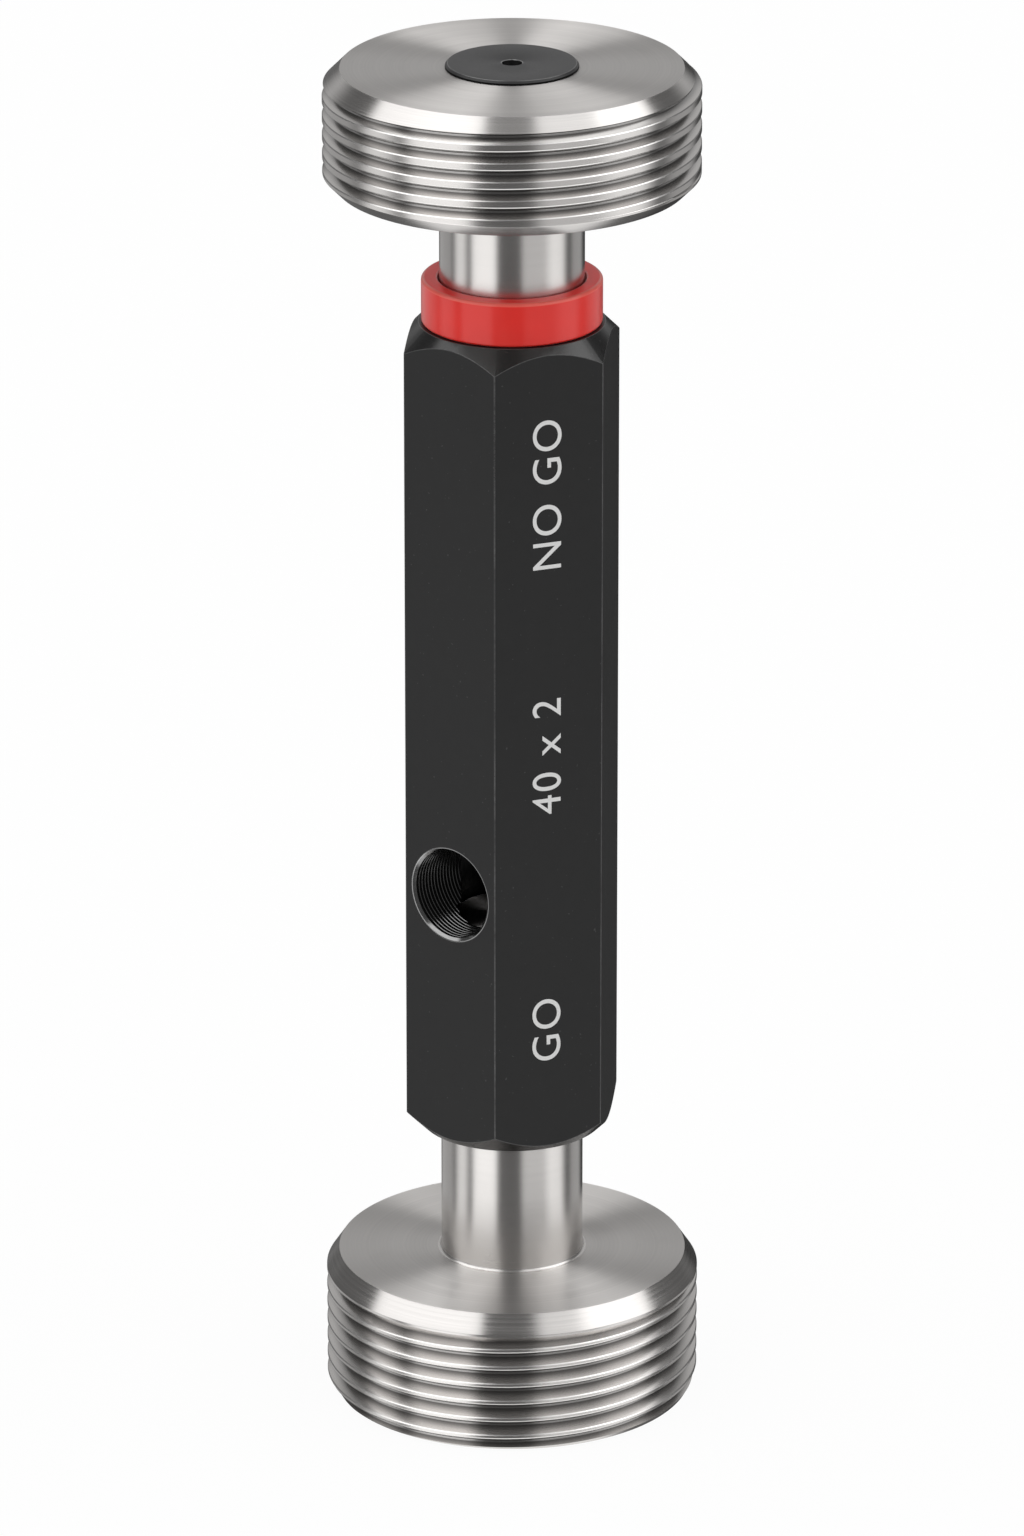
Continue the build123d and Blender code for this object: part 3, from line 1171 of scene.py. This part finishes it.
@dataclass
class HexHandle:
    """Hexagonal handle with turned ends, a bore with two taper sockets and a cross hole for a drift."""

    low: float
    high: float
    flat_distance: float
    hole_level: float
    hole_radius: float
    face_radius: float = 9.8 * MM
    vertex_rounding: float = 0.17 * MM
    end_rounding: float = 0.14 * MM
    mouth_radius: float = 6.5 * MM
    mouth_chamfer: float = 0.30 * MM
    socket_depth: float = 25.2 * MM
    socket_taper: float = 1.0 / 50.0
    bore_radius: float = 5.5 * MM
    hole_chamfer: float = 0.30 * MM
    rim_rounding: float = 0.06 * MM
    tool_mark_pitch: float = 0.5 * MM
    tool_mark_depth: float = 0.05 * MM
    cutter_overrun: float = 2.0 * MM
    cutter_columns: int = 120
    flat_steps: int = 20
    vertex_steps: int = 4
    sharp_above: float = math.radians(30.0)

    def outline(self) -> list[tuple[float, float, Surface]]:
        """Works out the hexagon, whose flats meet in rounded edges.

        Returns:
            Angle, distance from the axis and kind of face of each column.
        """
        sector = math.radians(60.0)
        side = (self.flat_distance - self.vertex_rounding) * math.tan(sector / 2)
        centre = (self.flat_distance - self.vertex_rounding) / math.cos(sector / 2)
        turn = math.atan2(side, self.flat_distance)
        columns = []
        for face in range(6):
            middle = face * sector + sector / 2
            for step in range(self.flat_steps):
                off = turn * (2 * step / self.flat_steps - 1)
                columns.append((middle + off, self.flat_distance / math.cos(off), Surface.FLATS))
            for step in range(self.vertex_steps):
                off = (sector / 2 - turn) * (2 * step / self.vertex_steps - 1)
                reach = centre * math.cos(off)
                reach += math.sqrt(self.vertex_rounding**2 - (centre * math.sin(off)) ** 2)
                columns.append((middle + sector / 2 + off, reach, Surface.EDGE))
        return columns

    def section(self, reach: float, side: Surface) -> list[Station]:
        """Section of the handle at one column.

        Args:
            reach: Distance of the column from the axis.
            side: Kind of face that goes on sideways from it.

        Returns:
            The vertices.
        """
        cone = reach - self.face_radius
        rounding = self.end_rounding
        end_face = Surface.FLATS
        turned = Surface.TURNED_BLACK
        edge = Surface.EDGE
        taper_end = self.mouth_radius - self.socket_depth * self.socket_taper / 2
        inside = [
            (self.mouth_radius + self.mouth_chamfer, self.high),
            (self.mouth_radius, self.high - self.mouth_chamfer),
            (taper_end, self.high - self.socket_depth),
            (self.bore_radius, self.high - self.socket_depth),
            (self.bore_radius, self.low + self.socket_depth),
            (taper_end, self.low + self.socket_depth),
            (self.mouth_radius, self.low + self.mouth_chamfer),
        ]
        corners = [
            Corner(self.mouth_radius + self.mouth_chamfer, self.low, leads_on=end_face),
            Corner(self.face_radius, self.low, rounding, turned, rounded_as=edge),
            Corner(reach, self.low + cone, rounding, side, rounded_as=edge),
            Corner(reach, self.high - cone, rounding, turned, rounded_as=edge),
            Corner(self.face_radius, self.high, rounding, end_face, rounded_as=edge),
            *(Corner(radius, level, leads_on=Surface.BORE) for radius, level in inside),
        ]
        return trace(corners, "handle")

    def _tool_marks(self, wall_end: float) -> list[Corner]:
        """Wall of the drift hole, with the grooves that the drill left round it, whose slopes that face the
        nearer mouth take painted light.

        Args:
            wall_end: How far the wall reaches from the handle's axis.

        Returns:
            The corners of its section, from one end to the other.
        """
        depth = self.tool_mark_depth
        count = 2 * round(wall_end / self.tool_mark_pitch)
        pitch = 2 * wall_end / count
        wall = []
        for step in range(count):
            start = step * pitch - wall_end
            # In each half the slopes that face the nearer mouth take bright metal and the others stay black:
            # painted light where the grooves catch it.
            sides = [Surface.BORE, Surface.TOOL_MARK]
            if start >= 0.0:
                sides.reverse()
            wall.append(Corner(self.hole_radius, start, leads_on=Surface.BORE))
            wall.append(Corner(self.hole_radius, start + pitch - 2 * depth, leads_on=sides[0]))
            wall.append(Corner(self.hole_radius + depth, start + pitch - depth, leads_on=sides[1]))
        return wall

    def drift_cutter(self, finishes: Finishes) -> bpy.types.Object:
        """Makes the shape that the drift hole takes away, with fine tool marks along its wall.

        Args:
            finishes: The material of each kind of face.

        Returns:
            The cutter, along the Y axis at the hole's level.
        """
        half = self.flat_distance
        wall_end = half - self.hole_chamfer
        rim = self.hole_radius + self.hole_chamfer
        beyond = self.cutter_overrun
        rounding = self.rim_rounding
        cut = Surface.HOLE_RIM
        corners = [
            Corner(0.0, -half - beyond, leads_on=cut),
            Corner(rim + 4 * beyond, -half - beyond, leads_on=cut),
            Corner(rim - rounding / 2, -half + rounding / 2, rounding, cut),
            *self._tool_marks(wall_end),
            Corner(self.hole_radius, wall_end, leads_on=cut),
            Corner(rim - rounding / 2, half - rounding / 2, rounding, cut),
            Corner(rim + 4 * beyond, half + beyond, leads_on=cut),
            Corner(0.0, half + beyond, leads_on=cut),
        ]
        draft = MeshDraft()
        draft.spin(trace(corners, "cutter"), self.cutter_columns, looped=False)
        draft.points = [(x, level, self.hole_level - y) for x, y, level in draft.points]
        return draft.to_object("drift_cutter", finishes)

    def build(self, finishes: Finishes) -> bpy.types.Object:
        """Builds the handle.

        Args:
            finishes: The material of each kind of face.

        Returns:
            The piece.
        """
        outline = self.outline()
        draft = MeshDraft()
        columns = [self.section(reach, side) for _, reach, side in outline]
        draft.add_columns([angle for angle, _, _ in outline], columns, looped=True)
        piece = draft.to_object("handle_dressed", finishes)
        cutter = self.drift_cutter(finishes)
        cut = piece.modifiers.new("drift_hole", "BOOLEAN")
        cut.operation = "DIFFERENCE"
        cut.solver = "EXACT"
        cut.object = cutter
        drilled = evaluated_mesh(piece)
        piece.modifiers.clear()
        piece.data = drilled
        bpy.data.objects.remove(cutter)
        soften(piece, self.sharp_above)
        return enlist(piece, Slot.HANDLE, "handle")


@dataclass
class StopRing:
    """Red ring that marks the NO GO end."""

    low: float
    high: float
    radius: float
    bore_radius: float = 7.75 * MM
    outer_rounding: float = 0.35 * MM
    bore_rounding: float = 0.20 * MM
    rounding_segments: int = 5
    seam: float = 0.10 * MM
    columns: int = 240
    sharp_above: float = math.radians(35.0)

    def build(self, finishes: Finishes) -> bpy.types.Object:
        """Builds the ring.

        Args:
            finishes: The material of each kind of face.

        Returns:
            The piece.
        """
        middle = (self.low + self.high) / 2
        side = Surface.MOULDED
        corners = [
            Corner(self.bore_radius, middle, leads_on=side),
            Corner(self.bore_radius, self.low, self.bore_rounding, side),
            Corner(self.radius, self.low, self.outer_rounding, side),
            # The top face and its rounded edge take finishes with painted light and a painted highlight.
            Corner(self.radius, self.high, self.outer_rounding, Surface.RING_TOP, rounded_as=Surface.EDGE),
            Corner(self.bore_radius, self.high, self.bore_rounding, side),
            Corner(self.bore_radius, middle + self.seam, leads_on=side),
        ]
        draft = MeshDraft()
        draft.spin(trace(corners, "ring", self.rounding_segments), self.columns, looped=True)
        piece = draft.to_object("no_go_ring_dressed", finishes)
        soften(piece, self.sharp_above)
        return enlist(piece, Slot.RING, "no_go_ring")


@dataclass
class FlatMarking:
    """Plain words lasered along one flat of the handle, reading upwards."""

    flat_distance: float
    finish: bpy.types.Material
    flat_angle: float = math.radians(-30.0)
    height: float = 3.3 * MM
    height_share: float = 0.72
    spacing: float = 1.12
    depth: float = 0.006 * MM

    def build(self, name: str, words: str, level: float) -> bpy.types.Object:
        """Builds one group of words.

        Args:
            name: Name of the piece.
            words: What it says.
            level: Level of its middle.

        Returns:
            The piece.
        """
        curve = bpy.data.curves.new(name, "FONT")
        curve.body = words
        curve.align_x = "CENTER"
        curve.align_y = "CENTER"
        curve.size = self.height / self.height_share
        curve.space_character = self.spacing
        curve.extrude = self.depth
        letters = link_object(name + "_draft", curve)
        mesh = evaluated_mesh(letters)
        bpy.data.objects.remove(letters)
        outward = Vector((math.cos(self.flat_angle), math.sin(self.flat_angle), 0.0))
        along = Vector((0.0, 0.0, 1.0))
        upright = outward.cross(along)
        centre = outward * self.flat_distance + along * level
        for vertex in mesh.vertices:
            x, y, z = vertex.co
            vertex.co = centre + along * x + upright * y + outward * z
        mesh.name = name
        mesh.materials.clear()
        mesh.materials.append(self.finish)
        return enlist(link_object(name, mesh), Slot.HANDLE)


@dataclass(frozen=True)
class Softbox:
    """A panel far off in the studio, with its place and half width in degrees as seen from the gauge.

    Its azimuth is counted from the camera's side, to the right if positive. A panel with a strength under
    zero takes light away.
    """

    azimuth: float
    half_width: float
    softness: float
    low: float
    high: float
    strength: float


@dataclass(frozen=True)
class Ceiling:
    """A bright panel overhead on one side, which stops short of the middle and ends behind the gauge."""

    side: int
    gap: float
    taper: float
    strength: float
    softness: float = 0.035


@dataclass
class Studio:
    """Camera, floor and light."""

    target: tuple[float, float, float] = (0.0, 0.0, 70.5 * MM)
    azimuth: float = math.radians(38.6)
    elevation: float = math.radians(20.68)
    distance: float = 1.05
    sensor: float = 36.0
    lens: float = 231.86
    clip: tuple[float, float] = (0.05, 50.0)
    floor_drop: float = 0.05 * MM
    floor_rings: tuple[float, ...] = (6.0, 1.0, 0.2, 0.0)
    floor_columns: int = 64
    floor_grey: float = 0.9
    floor_glow: float = 0.94
    white: float = 1.0
    fill: float = 0.14
    softboxes: tuple[Softbox, ...] = (
        Softbox(-46.0, 21.0, 5.0, -62.0, 4.0, 1.15),
        Softbox(-90.0, 12.0, 8.0, -62.0, 4.0, 0.88),
        Softbox(38.0, 22.0, 5.0, -62.0, 4.0, 0.45),
        Softbox(76.0, 16.0, 8.0, -62.0, 4.0, 1.00),
        Softbox(-46.0, 21.0, 5.0, -62.0, -31.0, 0.70),
        Softbox(44.0, 28.0, 5.0, -62.0, -31.0, 0.80),
        Softbox(180.0, 38.0, 8.0, 6.0, 50.0, 0.40),
        Softbox(163.0, 14.0, 6.0, -40.0, 0.0, -0.09),
        Softbox(-136.0, 24.0, 6.0, -29.0, -12.0, 0.36),
        Softbox(127.0, 17.0, 6.0, -29.0, -12.0, 0.36),
        Softbox(0.0, 200.0, 9.0, 54.0, 110.0, 0.20),
        Softbox(0.0, 200.0, 6.0, -100.0, -58.0, 0.90),
    )
    ceilings: tuple[Ceiling, ...] = (
        Ceiling(-1, 0.139, 0.19, 1.4),
        Ceiling(1, 0.117, 0.16, 0.9),
        Ceiling(1, 0.53, 0.12, 0.8),
    )
    ceiling_low: tuple[float, float] = (0.18, 0.40)
    ceiling_back: tuple[float, float] = (0.19, 0.35)

    def build(self) -> None:
        """Sets up the whole studio."""
        self._camera()
        self._floor()
        self._world()

    def _camera(self) -> None:
        """Adds the camera at the picture's viewing angle."""
        data = bpy.data.cameras.new("camera")
        data.sensor_width = self.sensor
        data.lens = self.lens
        data.clip_start, data.clip_end = self.clip
        camera = link_object("camera", data)
        back = self._towards(0.0) * math.cos(self.elevation) + Vector((0.0, 0.0, math.sin(self.elevation)))
        camera.location = Vector(self.target) + back * self.distance
        camera.rotation_euler = (-back).to_track_quat("-Z", "Y").to_euler()
        bpy.context.scene.camera = camera
        LOG.info("camera: %.0f mm lens at %.2f m", self.lens, self.distance)

    def _floor(self) -> None:
        """Adds the pale floor, which only shows from above and isn't mirrored in the steel."""
        rings = enumerate(self.floor_rings)
        line = [Station(("floor", place, 0), ring, -self.floor_drop) for place, ring in rings]
        draft = MeshDraft()
        draft.spin(line, self.floor_columns, looped=False)
        material = bpy.data.materials.new("pale_floor")
        material.use_nodes = True
        graph = Graph(material.node_tree)
        matt = graph.add("NodeBsdfDiffuse", {"Color": grey(self.floor_grey)})
        glow = graph.add("NodeEmission", {"Color": grey(self.white), "Strength": 1.0})
        pale = graph.add("NodeMixShader", {0: self.floor_glow, 1: matt.outputs[0], 2: glow.outputs[0]})
        clear = graph.add("NodeBsdfTransparent")
        behind = graph.add("NodeNewGeometry").outputs["Backfacing"]
        both = graph.add("NodeMixShader", {0: behind, 1: pale.outputs[0], 2: clear.outputs[0]})
        graph.feed(both.outputs[0], graph.add("NodeOutputMaterial").inputs["Surface"])
        floor = draft.to_object("floor", {Surface.TURNED: material})
        floor.visible_glossy = False

    def _world(self) -> None:
        """Lights the studio with soft panels, in front of a plain white that only the camera sees."""
        world = bpy.data.worlds.new("studio")
        world.use_nodes = True
        bpy.context.scene.world = world
        graph = Graph(world.node_tree)
        way = graph.add("NodeTexCoord").outputs["Generated"]
        parts = graph.add("NodeSeparateXYZ", {"Vector": way})
        height = parts.outputs["Z"]
        level = graph.math("ARCSINE", height)
        flat = graph.vector(parts.outputs["X"], parts.outputs["Y"], 0.0)
        heading = graph.add("NodeVectorMath", {0: flat}, operation="NORMALIZE").outputs[0]
        light: Socket | float = self.fill
        for box in self.softboxes:
            light = graph.math("ADD", light, self._softbox(graph, box, heading, level))
        for ceiling in self.ceilings:
            light = graph.math("ADD", light, self._ceiling(graph, ceiling, way, height))
        seen = graph.add("NodeLightPath").outputs["Is Camera Ray"]
        lit = graph.add("NodeBackground", {"Color": graph.vector(light, light, light)})
        plain = graph.add("NodeBackground", {"Color": grey(self.white)})
        both = graph.add("NodeMixShader", {0: seen, 1: lit.outputs[0], 2: plain.outputs[0]})
        graph.feed(both.outputs[0], graph.add("NodeOutputWorld").inputs["Surface"])
        bpy.context.scene.view_settings.view_transform = "Standard"
        LOG.info("studio: %d soft panels and %d overhead", len(self.softboxes), len(self.ceilings))

    def _towards(self, azimuth: float) -> Vector:
        """Level direction at an angle from the camera's side, in radians, to the right if positive."""
        turn = self.azimuth + azimuth
        return Vector((math.sin(turn), -math.cos(turn), 0.0))

    def _along(self, graph: Graph, way: Socket, azimuth: float) -> Socket:
        """How far a direction goes towards an angle from the camera's side."""
        towards = {0: way, 1: self._towards(azimuth)}
        return graph.add("NodeVectorMath", towards, operation="DOT_PRODUCT").outputs["Value"]

    def _softbox(self, graph: Graph, box: Softbox, heading: Socket, level: Socket) -> Socket:
        """Brightness of one standing panel.

        Args:
            graph: The world's graph.
            box: The panel.
            heading: Level direction that is looked in.
            level: Angle above the horizon.

        Returns:
            The brightness.
        """
        off = graph.math("ARCCOSINE", self._along(graph, heading, math.radians(box.azimuth)))
        soft, half, low, high = map(math.radians, (box.softness, box.half_width, box.low, box.high))
        across = graph.remap(off, half + soft, half - soft)
        rises = graph.remap(level, low - soft, low + soft)
        ends = graph.remap(level, high + soft, high - soft)
        return graph.product(across, rises, ends, box.strength)

    def _ceiling(self, graph: Graph, panel: Ceiling, way: Socket, height: Socket) -> Socket:
        """Brightness of one overhead panel.

        Args:
            graph: The world's graph.
            panel: The panel.
            way: Direction that is looked in.
            height: Its upward part.

        Returns:
            The brightness.
        """
        front = self._along(graph, way, 0.0)
        side = self._along(graph, way, panel.side * math.pi / 2)
        past_gap = graph.math("SUBTRACT", side, graph.product(front, panel.taper))
        across = graph.remap(past_gap, panel.gap - panel.softness, panel.gap + panel.softness)
        rises = graph.remap(height, *self.ceiling_low)
        ends = graph.remap(graph.math("ADD", front, height), *self.ceiling_back)
        return graph.product(across, rises, ends, panel.strength)


def mount(name: str) -> dict[str, object]:
    """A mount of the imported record, by its name."""
    return next(entry for entry in frame["record"]["mounts"] if entry["name"] == name)


def steel_finishes() -> Finishes:
    """Makes the finishes that both plugs share."""
    even = {"mark_contrast": 0.04, "unevenness": 0.012, "relief": 0.0003 * MM}
    # Lighter than the other steel: partly burnishing of the crest edges, partly a painted highlight line
    # along them.
    burnished_and_highlight = (0.86, 0.845, 0.83)
    ground = SteelFinish("ground_steel", mark_contrast=0.03, unevenness=0.01, relief=0.0003 * MM).material()
    turned = SteelFinish("turned_steel", roughness=0.42, stretch=0.95)
    chamfer = SteelFinish("chamfer_steel", roughness=0.19, stretch=0.5, relief=0.0005 * MM)
    edge = SteelFinish("burnished_edge", burnished_and_highlight, stretch=0.2, **even)
    # The flanks take painted shade that darkens them down each groove.
    flank = SteelFinish("flank_steel", roughness=0.20, stretch=0.5, painted_root_shade=1.0, **even)
    return {
        Surface.TURNED: turned.material(),
        Surface.CHAMFER: chamfer.material(),
        Surface.NECK: ground,
        Surface.CREST: ground,
        Surface.CREST_EDGE: edge.material(),
        Surface.FLANK: flank.material(),
    }


def cut_metal(name: str, brightness: float, roughness: float) -> bpy.types.Material:
    """Makes the finish of a narrow face that was cut through a black skin.

    Args:
        name: The material's name.
        brightness: How much light it gives back.
        roughness: Its roughness.

    Returns:
        The material.
    """
    finish = SteelFinish(name, (brightness,) * 3, roughness=roughness, stretch=0.0, mark_contrast=0.2)
    return finish.material()


def black_finishes(rim: bpy.types.Material) -> Finishes:
    """Makes the handle's finishes.

    Args:
        rim: Finish of the drift hole's rim.

    Returns:
        The material of each kind of face.
    """
    # Rubbed wear on the handle's rounded edges, partly real wear and partly a painted highlight line along
    # each edge.
    rubbed = BlackFinish("rubbed_black", worn_colour=(0.20, 0.20, 0.20), roughness=0.30, wear=0.5)
    turned = BlackFinish("turned_black", (0.003, 0.003, 0.003), specular=0.75, roughness=0.22, stretch=0.4)
    drilled = BlackFinish("drilled_black", (0.005, 0.005, 0.005), specular=0.12, roughness=0.45)
    return {
        Surface.FLATS: BlackFinish("satin_black").material(),
        Surface.TURNED_BLACK: turned.material(),
        Surface.EDGE: rubbed.material(),
        Surface.HOLE_RIM: rim,
        # Bright metal for the grooves' slopes that face the mouth, painted light inside the drift hole.
        Surface.TOOL_MARK: cut_metal("tool_marks", 0.26, 0.18),
        Surface.BORE: drilled.material(),
    }


def centre_finishes(rim: bpy.types.Material) -> Finishes:
    """Makes the finishes of the raised black centre.

    Args:
        rim: Finish of its edge and of its centre hole's rim.

    Returns:
        The material of each kind of face.
    """
    # Darker and duller than the blackened boss: painted shade in the centre hole and along the boss's side
    # wall.
    shade = BlackFinish("centre_hole_black", (0.004, 0.004, 0.004), specular=0.05, roughness=0.5)
    return {
        Surface.BLACK_CENTRE: BlackFinish("blackened_steel", (0.022, 0.022, 0.0225)).material(),
        Surface.CENTRE_HOLE: shade.material(),
        Surface.HOLE_RIM: rim,
    }


def red_finishes() -> Finishes:
    """Makes the ring's finishes, with painted light on its top face and a painted highlight on its top edge.
    """
    return {
        Surface.MOULDED: RedFinish("gloss_red").material(),
        # The rounded top edge is a lighter red, a painted highlight line along it.
        Surface.EDGE: RedFinish("light_red_edge", (0.92, 0.12, 0.09)).material(),
        # The top face is a brighter red with less coat than the side: painted light where the plug above
        # shades it.
        Surface.RING_TOP: RedFinish("matt_red", (1.0, 0.02, 0.012), coat=0.1, sheen=0.0).material(),
    }


def main() -> None:
    """Builds the gauge and its studio around the frame."""
    logging.basicConfig(level=logging.INFO, format="%(name)s: %(message)s")
    handle_low, handle_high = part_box("handle")
    ring_low, ring_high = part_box("no_go_ring")
    go_radius = mount("go_thread")["dims"]["r_mm"] * MM
    no_go_radius = mount("no_go_thread")["dims"]["r_mm"] * MM
    no_go_end = mount("no_go_thread")["pos_m"][2]
    hole_level = mount("drift_hole")["pos_m"][2]
    hole_radius = mount("drift_hole")["dims"]["r_mm"] * MM

    Studio().build()

    steel = steel_finishes()
    go_face = SteelFinish("fine_turned_steel", roughness=0.40, stretch=0.97).material()
    rim = cut_metal("cut_rim", 0.33, 0.15)
    GoPlug("go_member", go_radius, 0.0).build(handle_low.z, steel | {Surface.TURNED: go_face})
    NoGoPlug("no_go_member", no_go_radius, no_go_end).build(handle_high.z, steel | centre_finishes(rim))
    handle = HexHandle(handle_low.z, handle_high.z, handle_high.y, hole_level, hole_radius)
    handle.build(black_finishes(rim))
    StopRing(ring_low.z, ring_high.z, ring_high.x).build(red_finishes())
    marking = FlatMarking(handle_high.y, MarkingFinish("laser_mark").material())
    above_end, below_end = 14.0 * MM, 16.0 * MM
    marking.build("mark_go", "GO", handle_low.z + above_end)
    marking.build("mark_size", "40 x 2", (handle_low.z + handle_high.z) / 2)
    marking.build("mark_no_go", "NO GO", handle_high.z - below_end)


if __name__ == "__main__":
    main()
